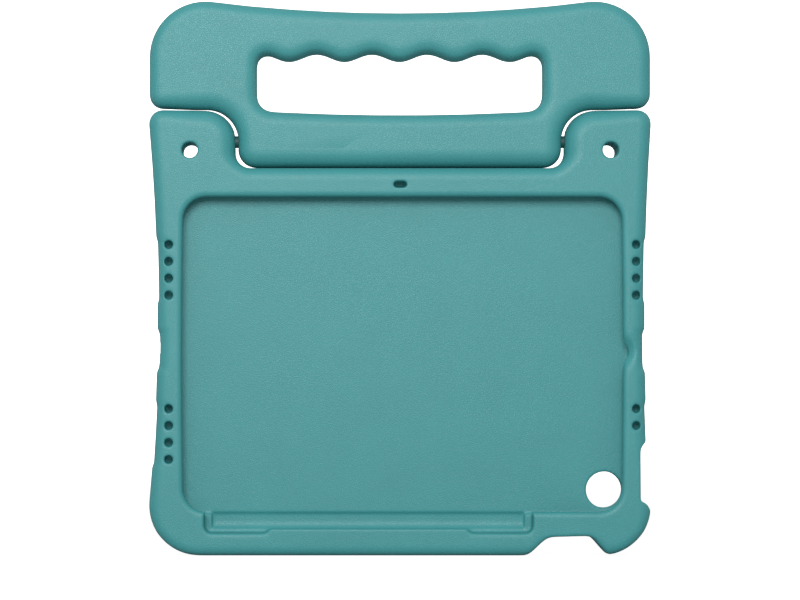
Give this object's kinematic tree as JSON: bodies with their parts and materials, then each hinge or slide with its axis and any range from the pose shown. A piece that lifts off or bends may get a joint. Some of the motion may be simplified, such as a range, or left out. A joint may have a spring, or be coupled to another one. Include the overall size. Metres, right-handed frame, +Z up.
{
  "type": "kids tablet case",
  "caption": "Thick moulded foam tablet case with a folding carry handle, a framed screen window, a groove along the bottom and notches for buttons.",
  "frame": {"origin": "centre of the case's bottom edge, which it stands on, halfway between its front and back faces", "axes": "+Z up, along the case towards the handle; +Y towards the back; -Y is the screen side; +X is the side with the power button's notch"},
  "size_m": [0.2743, 0.022, 0.3029],
  "materials": {
    "foam": "matt moulded foam with a fine leather grain",
    "hinge_plastic": "satin moulded plastic",
    "ring_rubber": "matt rubber"
  },
  "bodies": {
    "case": {"case_body": "foam", "ear_socket_left": "hinge_plastic", "ear_socket_right": "hinge_plastic", "friction_ring_left": "ring_rubber", "friction_ring_right": "ring_rubber"},
    "handle": {"carry_handle": "foam", "hinge_pin_left": "hinge_plastic", "hinge_pin_right": "hinge_plastic", "handle_bush_left": "hinge_plastic", "handle_bush_right": "hinge_plastic"}
  },
  "joints": [
    {"name": "handle_fold", "type": "hinge", "parent": "case", "child": "handle", "pos_m": [0, 0, 0.2263], "axis": [-1, 0, 0], "range_deg": [0, 105]}
  ]
}
